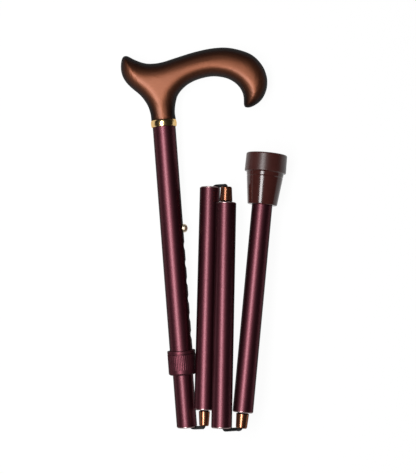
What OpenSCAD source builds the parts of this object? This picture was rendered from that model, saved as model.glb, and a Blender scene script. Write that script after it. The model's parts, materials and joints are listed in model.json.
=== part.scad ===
// Folding walking cane, laid down folded.
// Four tube sections are strung on one elastic cord. The first carries the handle and
// telescopes in height; the other three fold back beside it in a zigzag.
// Millimetres. +Y runs towards the handle, +Z is up and z = 0 is the table.

/* [Tubes] */
// Outside diameter of the inner tube and of the three lower tubes
tube_od = 16; // [15:0.5:18]
// Wall of those tubes
tube_wall = 1; // [0.8:0.1:1.4]
// Wall of the upper tube
upper_wall = 0.92; // [0.8:0.02:1.4]
// Play around the inner tube in the upper tube, each side
slide_play = 0.08; // [0.04:0.01:0.1]
// Length of the upper tube
upper_len = 190; // [184:1:196]
// Length of the inner tube
inner_len = 201; // [190:1:206]
// Length of the second and third tubes
tube_len = 174.5; // [150:0.5:190]
// Length of the fourth tube, with the end that the ferrule covers
last_len = 191.5; // [170:0.5:210]
// Bevel on the tubes' open ends
rim_bevel = 0.7; // [0.2:0.05:0.75]

/* [Handle] */
// Length from the beak to the nose
handle_len = 113.4; // [105:0.2:122]
// Height of the crown above the collar ring
handle_rise = 53.2; // [50:0.2:58]
// Thickness of the grip across the palm
handle_depth = 24; // [22:0.5:28]
// Diameter of the foot that stands on the collar ring
foot_d = 19.4; // [19:0.1:20]
// Length of the tenon inside the upper tube
tenon_len = 28; // [20:1:34]

/* [Collar ring] */
// Outside diameter of the ring
ring_od = 20.2; // [19.6:0.1:22]
// Height of the ring
ring_h = 5.2; // [4:0.1:7]
// Depth of the groove on each side of its band
ring_groove = 0.45; // [0.2:0.05:0.6]

/* [Height lock] */
// How far the upper tube reaches below the top of the lock bush's flange
lock_drop = 8.8; // [7:0.2:12]
// Outside diameter of the flange and the nut
nut_od = 22; // [21.6:0.1:23]
// Thickness of the flange
flange_h = 2.4; // [1.6:0.1:3]
// Length of the nut
nut_len = 16.2; // [15:0.1:19]
// Wall of the bush around the upper tube
bush_wall = 0.9; // [0.8:0.05:1]
// Number of ribs on the nut
rib_count = 44; // [24:2:48]
// Depth of the grooves between the ribs
rib_depth = 0.35; // [0.2:0.05:0.4]

/* [Snap button] */
// Distance from the ring's top to the button
button_drop = 85.7; // [82:0.1:88]
// Diameter of the button
button_d = 6.6; // [5.5:0.1:7]
// How far the button stands out of the upper tube
button_proud = 3.4; // [2.5:0.1:4]
// Distance between height holes
hole_pitch = 14; // [12:0.5:14]
// Number of height holes
hole_count = 7; // [3:1:7]
// Thickness of the leaf spring
leaf_t = 0.5; // [0.3:0.1:0.8]
// Width of the leaf spring
leaf_w = 6; // [4:0.5:7]

/* [Plug joints] */
// Length of a plug outside its tube
spigot_len = 12.2; // [10:0.1:15]
// Diameter of the second section's plug at its base
slim_base_d = 8.7; // [8.4:0.1:10]
// Diameter of the other two plugs at their base
stout_base_d = 10; // [9:0.1:11]
// How much narrower a plug is at its tip
spigot_taper = 1.2; // [0.6:0.1:1.6]
// Play around a plug in its socket, each side
plug_play = 0.08; // [0.05:0.01:0.1]
// Length that each plug and socket takes up inside its tube
insert_len = 24; // [18:1:30]

/* [Cord] */
// Diameter of the elastic cord
cord_d = 2.6; // [2.4:0.1:2.7]
// Distance from the button to the cord's upper anchor
anchor_drop = 44; // [40:1:60]
// Length of an anchor plug
anchor_len = 8; // [5:0.5:12]
// Length of the knot behind an anchor
knot_len = 7; // [5:0.5:9]

/* [Ferrule] */
// Diameter of the ground face
ground_d = 31.9; // [29:0.1:34]
// Diameter of the base band at its shoulder
shoulder_d = 32.4; // [31:0.1:35]
// Height of the base band
base_h = 14.5; // [11:0.5:17]
// Diameter of the body above the base band
body_low_d = 29.2; // [26:0.1:30]
// Diameter of the body's upper end
body_top_d = 23.1; // [21:0.1:25]
// Length of the ferrule
ferrule_len = 40; // [35:0.5:46]
// Thickness of rubber under the tube
sole_t = 9; // [6:0.5:12]
// Thickness of the washer on the sole
washer_t = 1.2; // [0.8:0.1:2]

/* [Folded lie] */
// Lean of the first section, top to the left
lean_1 = 4.36; // [3.8:0.02:5]
// Lean of the second section
lean_2 = -1.45; // [-1.7:0.01:-1.3]
// Lean of the third section
lean_3 = -1.21; // [-1.3:0.01:-1]
// Lean of the fourth section
lean_4 = -5.46; // [-6:0.02:-5.2]
// How far the second section's plug stays back from the first section's mouth
tip_back_1 = 2.6; // [1.5:0.1:3.5]
// How far the third section's plug stays back from the second section's mouth
tip_back_2 = 0.2; // [-0.5:0.1:1]
// How far the fourth section's plug reaches past the third section's mouth
tip_past_3 = 1.1; // [0:0.1:1.5]
// Least gap between neighbouring sections
lie_gap = 0.5; // [0.4:0.05:1]
// Gap between a plug and a mouth when they face each other
plug_gap = 1; // [0.6:0.1:2]

/* [Hidden] */
$fn = 64;
arc_steps = 5;
rib_facets = 16;

// Colours
bronze = [0.62, 0.36, 0.26];
gold = [0.85, 0.66, 0.28];
plum = [0.45, 0.20, 0.25];
plum_plastic = [0.36, 0.17, 0.22];
brass = [0.78, 0.60, 0.33];
copper = [0.80, 0.50, 0.36];
steel = [0.70, 0.71, 0.73];
rubber = [0.25, 0.13, 0.13];
cord_black = [0.06, 0.06, 0.06];

// Overrun of every cut and the fit of pieces that are pressed or glued together
over = 1;
seat = 0.02;

// Tube radii
tube_r = tube_od / 2;
bore_r = tube_r - tube_wall;
upper_bore_r = tube_r + slide_play;
upper_r = upper_bore_r + upper_wall;
cord_r = cord_d / 2;

// First section, measured down from the collar ring's top
inner_top_lead = 45;
inner_top = button_drop - inner_top_lead;
mouth_drop = inner_top + inner_len;
nut_gap = 0.3;
flange_top = upper_len - lock_drop;
nut_top = flange_top + flange_h + nut_gap;
nut_end = nut_top + nut_len;
hole_play = 0.15;
hole_d = button_d + 2 * hole_play;
anchor_top = button_drop + anchor_drop;

// Collar ring's rounded band
ring_angle = 75;
ring_band_share = 0.9;

// Lock bush and nut
bush_r = upper_r + bush_wall;
nut_play = 0.1;
grip_play = 0.15;
lip_play = 0.3;
lip_h = 1.5;
collet_len = 6.4;
collet_draw = 0.8;
collet_end = nut_end - lip_h - nut_gap;
collet_start = collet_end - collet_len;
slit_w = 1;
slit_count = 4;
nut_edge = 1.5;
nut_band = 1.4;
rib_share = 0.5;

// Snap button, in the direction in which it stands out
button_tip = upper_r + button_proud;
button_neck_share = 0.2;
button_neck = upper_r + button_neck_share * button_proud;
head_lip = 0.8;
head_d = button_d + 2 * head_lip;
head_t = 1;
head_gap = 0.15;
head_top = sqrt(pow(bore_r, 2) - pow(head_d / 2, 2)) - head_gap;
head_low = head_top - head_t;
leaf_rest = sqrt(pow(bore_r, 2) - pow(leaf_w / 2, 2)) - head_gap;
leaf_drop = 26;
leaf_rise = 5;
leaf_bend = 2;

// Plugs and sockets
spigot_recess = 0.8;
spigot_neck = 1;
spigot_neck_h = 0.9;
spigot_shoulder = 0.25;
spigot_edge = 0.9;
cord_play = 0.5;
cord_bore_r = cord_r + cord_play;
tip_flare = 1.2;
socket_recess = 0.3;
socket_flare = 1.1;
socket_depth = spigot_len + plug_gap;

// Cord ends
knot_share = 2.3;
knot_r = knot_share * cord_r;
knot_body_share = 0.77;
knot_angle = 60;
run_gap = 0.05;
cord_leave = 10;
cord_enter = 2.5;
anchor_play = 0.3;
bottom_anchor_up = 40;
anchor_bottom = last_len - bottom_anchor_up;

// Ferrule, measured from the ground face
ferrule_fit = 0.03;
ferrule_bore = sole_t + washer_t + 2 * run_gap;
ground_edge = 0.9;
shoulder_edge = 0.5;
mouth_edge = 0.8;
tread_count = 3;
tread_pitch = 4;
tread_w = 1.6;
tread_depth = 1.4;

// Directions and points in the row frame
function unit(v) = v / norm(v);
function turn_x(a, p) = [p.x, p.y * cos(a) - p.z * sin(a), p.y * sin(a) + p.z * cos(a)];
function turn_z(a, p) = [p.x * cos(a) - p.y * sin(a), p.x * sin(a) + p.y * cos(a), p.z];
function lie(lean, tilt, p) = turn_z(lean, turn_x(tilt - 90, p));
up = [0, 0, 1];

// Heights and slopes. The handle's belly, the nut and the ferrule carry the first and last
// sections; the second clears the nut and comes down to the table at its mouth.
z_1 = max(handle_depth, nut_od) / 2;
side_1_share = 0.855;
side_2_share = 0.8;
side_3_share = 1.035;
drop_3_share = 0.5;
side_1 = side_1_share * tube_od;
side_2 = side_2_share * tube_od;
side_3 = side_3_share * tube_od;
back_1 = spigot_len + tip_back_1;
nut_height = max(mouth_drop - nut_end, back_1);
nut_side = (side_1 + nut_height * tan(lean_1) - (nut_height - back_1) * tan(lean_2)) * cos(lean_1);
nut_need = sqrt(max(0, pow(nut_od / 2 + tube_r + lie_gap, 2) - pow(nut_side, 2)));
end_need = sqrt(max(0, pow(tube_od + lie_gap, 2) - pow(side_1, 2)));
nut_reach = (nut_height - back_1) / tube_len;
z_2 = max((z_1 + nut_need - nut_reach * tube_r) / (1 - nut_reach), z_1 + end_need);
tilt_2 = -asin((z_2 - tube_r) / tube_len);
rise_2 = sqrt(pow(tube_od + lie_gap, 2) - pow(side_2, 2)) / cos(tilt_2);

// Layout with the first section's mouth at its zero
u_1 = lie(lean_1, 0, up);
u_2 = lie(lean_2, tilt_2, up);
u_3 = lie(lean_3, tilt_2, up);
laid_1 = [0, 0, z_1] + mouth_drop * u_1;
laid_2 = [side_1, back_1, z_2];
laid_mouth_2 = laid_2 + tube_len * u_2;
laid_top_3 = laid_mouth_2 + [side_2, 0, rise_2] - (spigot_len + tip_back_2) * u_2;
laid_3 = laid_top_3 - tube_len * u_3;
laid_4 = laid_3 + [side_3, spigot_len - tip_past_3, -drop_3_share * tube_od];
shaft_4 = last_len + ferrule_bore;
tilt_4 = -asin((laid_4.z - ground_d / 2) / shaft_4);
u_4 = lie(lean_4, tilt_4, up);

// Handle: two rails, the inside of the hand and the outside, with the grip's half thickness
// between them. Columns: inner x, inner z, outer x, outer z, half thickness; x in shares of
// the length, z in shares of the rise, thickness in shares of the depth.
handle_station_shares = [
  [0.0850, 0.020, -0.0860, 0.020, 0.400],
  [0.0820, 0.085, -0.0870, 0.110, 0.400],
  [0.0822, 0.130, -0.1020, 0.250, 0.405],
  [0.0840, 0.175, -0.1440, 0.397, 0.415],
  [0.0868, 0.215, -0.2120, 0.540, 0.425],
  [0.0905, 0.252, -0.2520, 0.665, 0.430],
  [0.0950, 0.285, -0.2652, 0.800, 0.430],
  [0.0990, 0.312, -0.2540, 0.945, 0.430],
  [0.1030, 0.335, -0.2260, 0.985, 0.432],
  [0.1110, 0.364, -0.1740, 0.922, 0.438],
  [0.1270, 0.408, -0.1110, 0.860, 0.450],
  [0.1480, 0.452, -0.0550, 0.840, 0.465],
  [0.1850, 0.510, 0.0160, 0.848, 0.480],
  [0.2400, 0.562, 0.1100, 0.895, 0.495],
  [0.3060, 0.594, 0.2350, 0.957, 0.500],
  [0.3660, 0.602, 0.3580, 0.996, 0.500],
  [0.4240, 0.582, 0.4700, 0.994, 0.495],
  [0.4750, 0.542, 0.5700, 0.936, 0.485],
  [0.5200, 0.472, 0.6480, 0.850, 0.470],
  [0.5480, 0.395, 0.7060, 0.702, 0.450],
  [0.5640, 0.315, 0.7320, 0.540, 0.425],
  [0.5680, 0.245, 0.7310, 0.400, 0.390],
  [0.5660, 0.190, 0.7130, 0.285, 0.340],
  [0.5640, 0.148, 0.6800, 0.182, 0.265],
  [0.5670, 0.113, 0.6330, 0.116, 0.165],
  [0.5800, 0.096, 0.5980, 0.093, 0.060]];
handle_steps = 3;
handle_sides = 28;
grip_power_share = 0.86;

// Curve through a list of points, each span cut into equal steps
function smooth_at(a, b, c, d, t) =
  b + (c - a) * t / 2 + (2 * a - 5 * b + 4 * c - d) * t * t / 2
    + (3 * b - a - 3 * c + d) * t * t * t / 2;
function smooth(p, steps) = let(last = len(p) - 1) [
  for (i = [0 : last - 1])
    for (j = [0 : steps - 1])
      smooth_at(p[max(i - 1, 0)], p[i], p[i + 1], p[min(i + 2, last)], j / steps),
  p[last]];

handle_scale = [handle_len, handle_rise, handle_len, handle_rise, handle_depth];
function to_size(s) = [for (i = [0 : len(s) - 1]) s[i] * handle_scale[i]];
foot_station = [foot_d / 2, 0, -foot_d / 2, 0, foot_d / 2];
handle_stations = concat([foot_station],
  smooth([for (s = handle_station_shares) to_size(s)], handle_steps));
// Ring of the grip at a station: round at the foot, fuller than an ellipse further on
function fuller(v, power) = sign(v) * pow(abs(v), power);
function grip_ring(s, power) = [for (i = [0 : handle_sides - 1])
  let(a = 360 * i / handle_sides, c = fuller(cos(a), power), d = fuller(sin(a), power))
    [(s[0] + s[2] + c * (s[0] - s[2])) / 2, s[4] * d, (s[1] + s[3] + c * (s[1] - s[3])) / 2]];
function power_at(share) = max(grip_power_share, 1 - 4 * share);
handle_count = len(handle_stations);
handle_rings = [for (i = [0 : handle_count - 1])
  grip_ring(handle_stations[i], power_at(max(0, i - 1) / handle_count))];

// Closed skin over rings of equal count
module skin(rings) {
  n = len(rings[0]);
  m = len(rings);
  points = [for (r = rings) each r];
  sides = [for (i = [0 : m - 2]) for (j = [0 : n - 1])
    let(k = (j + 1) % n) each [
      [i * n + j, (i + 1) * n + k, i * n + k],
      [i * n + j, (i + 1) * n + j, (i + 1) * n + k]]];
  low = [for (j = [1 : n - 2]) [0, j, j + 1]];
  high = [for (j = [1 : n - 2]) [(m - 1) * n, (m - 1) * n + j + 1, (m - 1) * n + j]];
  polyhedron(points, concat(sides, low, high));
}

// The layout's box, and the row's origin under its middle
outline = concat(
  [for (s = handle_stations) laid_1 + lie(lean_1, 0, [s[2], 0, s[3]])],
  [for (x = [-1, 1]) for (z = [shaft_4, shaft_4 - base_h])
    laid_4 + lie(lean_4, tilt_4, [x * shoulder_d / 2, 0, z])],
  [laid_4 - (spigot_len + cord_d) * u_4]);
low_x = min([for (p = outline) p.x]);
high_x = max([for (p = outline) p.x]);
low_y = min([for (p = outline) p.y]);
high_y = max([for (p = outline) p.y]);
middle = [(low_x + high_x) / 2, (low_y + high_y) / 2, 0];
at_1 = laid_1 - middle;
at_2 = laid_2 - middle;
at_3 = laid_3 - middle;
at_4 = laid_4 - middle;

module section_1() translate(at_1) rotate([0, 0, lean_1]) rotate([-90, 0, 0]) children();
module section_2() translate(at_2) rotate([0, 0, lean_2]) rotate([tilt_2 - 90, 0, 0]) children();
module section_3() translate(at_3) rotate([0, 0, lean_3]) rotate([tilt_2 - 90, 0, 0]) children();
module section_4() translate(at_4) rotate([0, 0, lean_4]) rotate([tilt_4 - 90, 0, 0]) children();
module flipped() rotate([180, 0, 0]) children();

// Folds: each mouth with its outward direction, and the plug that belongs in it
mouths = [at_1 - mouth_drop * u_1, at_2 + tube_len * u_2, at_3];
mouth_dirs = [-u_1, u_2, -u_3];
tips = [at_2 - spigot_len * u_2, at_3 + (tube_len + spigot_len) * u_3, at_4 - spigot_len * u_4];
tip_dirs = [-u_2, u_3, -u_4];

// Axis, angle and a point of the turn that brings plug k to face its mouth
function faced(k) = mouths[k] + plug_gap * mouth_dirs[k];
function fold_axis(k) = unit(cross(tip_dirs[k] + mouth_dirs[k], faced(k) - tips[k]));
function flat_to(v, n) = v - (v * n) * n;
function fold_angle(k) = let(n = fold_axis(k), a = flat_to(tip_dirs[k], n),
    b = flat_to(-mouth_dirs[k], n))
  atan2(n * cross(a, b), a * b);
function fold_point(k) = let(n = fold_axis(k), d = faced(k) - tips[k], a = fold_angle(k))
  (tips[k] + faced(k)) / 2 + cross(n, d) / tan(a / 2) / 2;
for (k = [0 : 2])
  echo(fold = k + 1, axis = fold_axis(k), angle = fold_angle(k), point = fold_point(k),
    plug = tip_dirs[k], travel = spigot_len + plug_gap);
echo(at_1 = at_1, at_2 = at_2, at_3 = at_3, at_4 = at_4, u_1 = u_1, u_2 = u_2, u_3 = u_3, u_4 = u_4);
echo(tilt_2 = tilt_2, tilt_4 = tilt_4, shaft_4 = shaft_4, box = [low_x, high_x, low_y, high_y]);
echo(button = at_1 - button_drop * u_1 + lie(lean_1, 0, [button_tip, 0, 0]),
  press = lie(lean_1, 0, [-1, 0, 0]));

// Cord route at a fold: points as [across, along], first from the mouth's middle towards the
// plug, then from the plug's tip back towards the mouth; both hang towards the table
leave_route = [[0, -10], [0.1, -8], [0.5, -6], [1.1, -4], [1.9, -2.2], [3.1, -0.4], [4.8, 1], [7.2, 1.6]];
enter_route = [[4.6, 1.5], [2.6, 1.45], [1, 0.8], [0.1, -0.6], [0, -2.5]];
hang_share = 1.1;
bend_steps = 2;
cord_sides = 8;
function hung(way, e) = unit(flat_to(unit(flat_to(way, e)) - [0, 0, hang_share], e));
function bend_path(k) = let(m = mouths[k], e = mouth_dirs[k], t = tips[k], d = tip_dirs[k],
    w = hung(t - m, e), v = hung(m - t, d))
  smooth(concat([for (p = leave_route) m + p[0] * w + p[1] * e],
    [for (p = enter_route) t + p[0] * v + p[1] * d]), bend_steps);
function cord_ring(p, tangent, across) = let(b = unit(flat_to(across, tangent)), n = cross(b, tangent))
  [for (i = [0 : cord_sides - 1])
    let(a = 360 * i / cord_sides) p + cord_r * (cos(a) * n + sin(a) * b)];
module cord_bend(k) {
  path = bend_path(k);
  last = len(path) - 1;
  b = unit(cross(mouth_dirs[k], tips[k] - mouths[k]));
  function tangent(i) = i == 0 ? mouth_dirs[k] : i == last ? -tip_dirs[k]
    : unit(path[i + 1] - path[i - 1]);
  color(cord_black)
    skin([for (i = [0 : last]) cord_ring(path[i], tangent(i), b)]);
}

// Shared shapes
module tube(r, wall, length) rotate_extrude()
  polygon([[r - wall, 0], [r - rim_bevel, 0], [r, rim_bevel], [r, length - rim_bevel],
    [r - rim_bevel, length], [r - wall, length]]);

// Plug with its outward direction along +z, zero at the tube's end
module spigot(base_d) {
  base_r = base_d / 2;
  tip_r = base_r - spigot_taper / 2;
  color(copper) rotate_extrude()
    polygon([[cord_bore_r, -insert_len], [bore_r - seat, -insert_len], [bore_r - seat, -spigot_recess],
      [base_r - spigot_neck, -spigot_recess], [base_r - spigot_neck, spigot_neck_h],
      [base_r - spigot_shoulder, spigot_neck_h], [base_r, spigot_neck_h + spigot_shoulder],
      [tip_r, spigot_len - spigot_edge],
      [tip_r - spigot_edge / 2, spigot_len], [cord_bore_r + tip_flare / 2, spigot_len],
      [cord_bore_r, spigot_len - tip_flare]]);
}

// Socket with its outward direction along +z, zero at the tube's end
module socket_bush(base_d) {
  mouth_r = base_d / 2 + plug_play;
  deep_r = mouth_r - spigot_taper / 2;
  color(copper) rotate_extrude()
    polygon([[cord_bore_r, -insert_len], [bore_r - seat, -insert_len], [bore_r - seat, -socket_recess],
      [mouth_r + socket_flare, -socket_recess], [mouth_r, -socket_recess - socket_flare],
      [deep_r, -socket_depth], [cord_bore_r, -socket_depth]]);
}

module cord_run(from, to) color(cord_black)
  translate([0, 0, from + run_gap]) cylinder(r = cord_r, h = to - from - 2 * run_gap);

// Anchor plug, zero at its face towards the knot
module cord_anchor() color(steel) rotate_extrude()
  polygon([[cord_r + anchor_play, 0], [bore_r - seat, 0], [bore_r - seat, anchor_len],
    [cord_r + anchor_play, anchor_len]]);

// Knot, sitting on z = 0: an overhand knot drawn tight, with the cord's cut end above it
module cord_knot() color(cord_black) rotate_extrude()
  polygon(concat([[0, run_gap]],
    [for (a = [-knot_angle : knot_angle / arc_steps : knot_angle])
      [knot_r * (1 + cos(a)) / 2,
       run_gap + knot_body_share * knot_len * (1 + sin(a) / sin(knot_angle)) / 2]],
    [[cord_r, knot_len], [0, knot_len]]));

// First section
module handle() color(bronze) section_1() {
  skin(handle_rings);
  translate([0, 0, -tenon_len]) cylinder(r = upper_bore_r - seat, h = tenon_len + over);
}

module collar_ring() {
  inner_r = upper_r + seat;
  outer_r = ring_od / 2;
  edge_r = outer_r - ring_groove;
  color(gold) section_1() rotate_extrude()
    polygon(concat([[inner_r, -ring_h], [edge_r, -ring_h]],
      [for (a = [-ring_angle : ring_angle / arc_steps : ring_angle])
        [edge_r + ring_groove * cos(a), ring_h * (ring_band_share * sin(a) / sin(ring_angle) - 1) / 2]],
      [[edge_r, 0], [inner_r, 0]]));
}

module height_holes(count) for (i = [0 : count - 1])
  translate([0, 0, -button_drop - i * hole_pitch]) rotate([0, 90, 0])
    cylinder(d = hole_d, h = upper_r + over);

module upper_tube() color(plum) section_1() difference() {
  translate([0, 0, -upper_len]) tube(upper_r, upper_wall, upper_len);
  height_holes(hole_count);
}

module lock_bush() color(plum_plastic) section_1() difference() {
  rotate_extrude()
    polygon([[upper_r + seat, -flange_top], [nut_od / 2 - nut_gap, -flange_top],
      [nut_od / 2, -flange_top - nut_gap], [nut_od / 2, -flange_top - flange_h],
      [bush_r, -flange_top - flange_h], [bush_r, -collet_start],
      [bush_r - collet_draw, -collet_end], [tube_r + grip_play, -collet_end],
      [tube_r + grip_play, -upper_len - nut_gap], [upper_r + seat, -upper_len - nut_gap]]);
  for (i = [0 : slit_count - 1])
    rotate([0, 0, 360 * i / slit_count]) translate([0, -slit_w / 2, -collet_end - over])
      cube([bush_r + over, slit_w, collet_len + over]);
}

module lock_nut() {
  r = nut_od / 2;
  hole_r = bush_r + nut_play;
  rib_r = rib_share * PI * r / rib_count;
  rib_top = nut_top + nut_band;
  rib_end = nut_end - nut_edge - nut_band;
  color(plum_plastic) section_1() difference() {
    rotate_extrude()
      polygon(concat([[hole_r, -nut_top], [r - nut_gap, -nut_top], [r, -nut_top - nut_gap]],
        [for (i = [0 : arc_steps]) let(a = 90 * i / arc_steps)
          [r - nut_edge * (1 - cos(a)), -nut_end + nut_edge * (1 - sin(a))]],
        [[tube_r + lip_play, -nut_end], [tube_r + lip_play, -nut_end + lip_h],
          [hole_r - collet_draw, -nut_end + lip_h], [hole_r - collet_draw, -collet_end],
          [hole_r, -collet_start]]));
    for (i = [0 : rib_count - 1])
      rotate([0, 0, 360 * i / rib_count]) translate([r + rib_r - rib_depth, 0, -rib_end])
        cylinder(r = rib_r, h = rib_end - rib_top, $fn = rib_facets);
  }
}

module inner_tube() color(plum) section_1() difference() {
  translate([0, 0, -mouth_drop]) tube(tube_r, tube_wall, inner_len);
  height_holes(1);
}

module snap_button() {
  r = button_d / 2;
  dome_h = button_tip - button_neck;
  color(brass) section_1() translate([0, 0, -button_drop]) rotate([0, 90, 0]) rotate_extrude()
    polygon(concat([[0, head_low], [head_d / 2, head_low], [head_d / 2, head_top], [r, head_top]],
      [for (i = [0 : 2 * arc_steps - 1]) let(a = 90 * i / (2 * arc_steps))
        [r * cos(a), button_neck + dome_h * sin(a)]],
      [[0, button_tip]]));
}

// Leaf spring: one leg along the tube's far side, a round bend below, the other leg under
// the button's head
module button_spring() {
  low = -button_drop - leaf_drop;
  high = -button_drop + leaf_rise;
  near = head_low - run_gap;
  function strip(offset) = [[-leaf_rest + offset, high], [-leaf_rest + offset, low + leaf_bend],
    [-leaf_rest / 2 + offset / 2, low + offset], [0, low + offset + leaf_bend / 2],
    [near - offset, -button_drop - leaf_rise], [near - offset, high]];
  outer = strip(0);
  inner = strip(leaf_t);
  color(steel) section_1() rotate([90, 0, 0]) translate([0, 0, -leaf_w / 2]) linear_extrude(leaf_w)
    polygon(concat(outer, [for (i = [len(inner) - 1 : -1 : 0]) inner[i]]));
}

module socket_bush_1() section_1() translate([0, 0, -mouth_drop]) flipped() socket_bush(slim_base_d);
module cord_anchor_top() section_1() translate([0, 0, -anchor_top]) flipped() cord_anchor();
module cord_knot_top() section_1() translate([0, 0, -anchor_top]) cord_knot();
module cord_run_1() section_1() cord_run(-mouth_drop + cord_leave, -anchor_top);
module cord_bend_1() cord_bend(0);

// Second section
module tube_2() color(plum) section_2() tube(tube_r, tube_wall, tube_len);
module spigot_2() section_2() flipped() spigot(slim_base_d);
module socket_bush_2() section_2() translate([0, 0, tube_len]) socket_bush(stout_base_d);
module cord_run_2() section_2() cord_run(cord_enter - spigot_len, tube_len - cord_leave);
module cord_bend_2() cord_bend(1);

// Third section
module tube_3() color(plum) section_3() tube(tube_r, tube_wall, tube_len);
module spigot_3() section_3() translate([0, 0, tube_len]) spigot(stout_base_d);
module socket_bush_3() section_3() flipped() socket_bush(stout_base_d);
module cord_run_3() section_3() cord_run(cord_leave, tube_len + spigot_len - cord_enter);
module cord_bend_3() cord_bend(2);

// Fourth section
module tube_4() color(plum) section_4() tube(tube_r, tube_wall, last_len);
module spigot_4() section_4() flipped() spigot(stout_base_d);
module cord_run_4() section_4() cord_run(cord_enter - spigot_len, anchor_bottom - anchor_len);
module cord_anchor_bottom() section_4() translate([0, 0, anchor_bottom]) flipped() cord_anchor();
module cord_knot_bottom() section_4() translate([0, 0, anchor_bottom]) cord_knot();

// The ferrule's zero is its ground face, with the tube's side along -z
module tip_ferrule() {
  bore = tube_r + ferrule_fit;
  color(rubber) section_4() translate([0, 0, shaft_4]) flipped() difference() {
    rotate_extrude()
      polygon([[0, 0], [ground_d / 2 - ground_edge, 0], [ground_d / 2, ground_edge],
        [shoulder_d / 2, base_h - shoulder_edge], [shoulder_d / 2 - shoulder_edge, base_h],
        [body_low_d / 2, base_h], [body_top_d / 2, ferrule_len - mouth_edge],
        [body_top_d / 2 - mouth_edge, ferrule_len], [bore, ferrule_len],
        [bore, sole_t], [0, sole_t]]);
    for (i = [1 : tread_count]) rotate_extrude()
      translate([i * tread_pitch - tread_w / 2, -over]) square([tread_w, tread_depth + over]);
  }
}

module tip_washer() color(steel) section_4() translate([0, 0, last_len + run_gap])
  cylinder(r = tube_r - seat, h = washer_t);

handle();
collar_ring();
upper_tube();
lock_bush();
lock_nut();
inner_tube();
snap_button();
button_spring();
socket_bush_1();
cord_anchor_top();
cord_knot_top();
cord_run_1();
cord_bend_1();
tube_2();
spigot_2();
socket_bush_2();
cord_run_2();
cord_bend_2();
tube_3();
spigot_3();
socket_bush_3();
cord_run_3();
cord_bend_3();
tube_4();
spigot_4();
cord_run_4();
cord_anchor_bottom();
cord_knot_bottom();
tip_ferrule();
tip_washer();
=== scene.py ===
"""Looks of the folded cane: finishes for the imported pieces, a smooth grip, a moulded tip,
a ribbed lock nut and the braided elastic cord. Metres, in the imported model's own frame."""
import json
import math
import bmesh
import bpy
from mathutils import Matrix, Vector, kdtree

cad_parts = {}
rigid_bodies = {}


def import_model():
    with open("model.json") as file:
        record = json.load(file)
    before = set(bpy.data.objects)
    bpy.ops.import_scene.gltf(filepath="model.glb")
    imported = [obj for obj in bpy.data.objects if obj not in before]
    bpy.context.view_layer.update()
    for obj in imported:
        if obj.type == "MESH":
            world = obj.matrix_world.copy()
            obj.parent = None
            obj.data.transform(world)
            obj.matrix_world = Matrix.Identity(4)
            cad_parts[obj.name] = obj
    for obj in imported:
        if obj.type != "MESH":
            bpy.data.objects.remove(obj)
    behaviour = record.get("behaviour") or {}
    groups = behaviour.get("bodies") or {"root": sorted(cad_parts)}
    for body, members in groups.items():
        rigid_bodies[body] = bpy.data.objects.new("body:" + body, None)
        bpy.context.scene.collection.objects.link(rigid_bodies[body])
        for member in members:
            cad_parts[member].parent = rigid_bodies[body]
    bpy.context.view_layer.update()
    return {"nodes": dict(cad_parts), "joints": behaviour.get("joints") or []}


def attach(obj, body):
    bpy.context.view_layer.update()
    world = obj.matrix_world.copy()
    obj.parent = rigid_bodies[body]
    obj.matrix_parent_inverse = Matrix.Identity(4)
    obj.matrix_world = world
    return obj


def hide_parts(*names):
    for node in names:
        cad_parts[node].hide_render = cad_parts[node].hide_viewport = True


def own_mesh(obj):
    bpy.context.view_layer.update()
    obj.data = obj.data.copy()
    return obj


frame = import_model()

MM = 0.001
NODES = frame["nodes"]
JOINTS = {joint["name"]: joint for joint in frame["joints"]}


# Places taken from the frame

def joint_axis(name):
    return Vector(JOINTS[name]["axis"]).normalized()


# Directions along the sections, towards the handle
UP_1 = -joint_axis("height_slide")
UP_2 = -joint_axis("plug_1")
UP_3 = joint_axis("plug_2")
UP_4 = -joint_axis("plug_3")


def node_points(node):
    places = {tuple(round(c, 6) for c in v.co) for v in NODES[node].data.vertices}
    return [Vector(place) for place in places]


def span_along(node, direction):
    """Lowest and highest place of a node along a direction."""
    places = [point.dot(direction) for point in node_points(node)]
    return min(places), max(places)


def end_rim(node, direction, tolerance=0.05 * MM):
    """The node's points on its flat end that lies furthest along a direction."""
    points = node_points(node)
    furthest = max(point.dot(direction) for point in points)
    return [point for point in points if furthest - point.dot(direction) < tolerance]


def end_centre(node, direction):
    rim = end_rim(node, direction)
    return sum(rim, Vector()) / len(rim)


def end_radii(node, direction):
    """Inner and outer radius of the node's flat end."""
    centre = end_centre(node, direction)
    radii = [(point - centre).length for point in end_rim(node, direction)]
    return min(radii), max(radii)


def flat_to(vector, normal):
    return vector - vector.dot(normal) * normal


def section_matrix(origin, up):
    """Frame with z along a section and x to the cane's right."""
    z = up.normalized()
    x = flat_to(Vector((1, 0, 0)), z).normalized()
    y = z.cross(x)
    matrix = Matrix((x, y, z)).transposed().to_4x4()
    matrix.translation = origin
    return matrix


RING_TOP = end_centre("collar_ring", UP_1)
GROUND = end_centre("tip_ferrule", UP_4)


# Node helpers for materials

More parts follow.
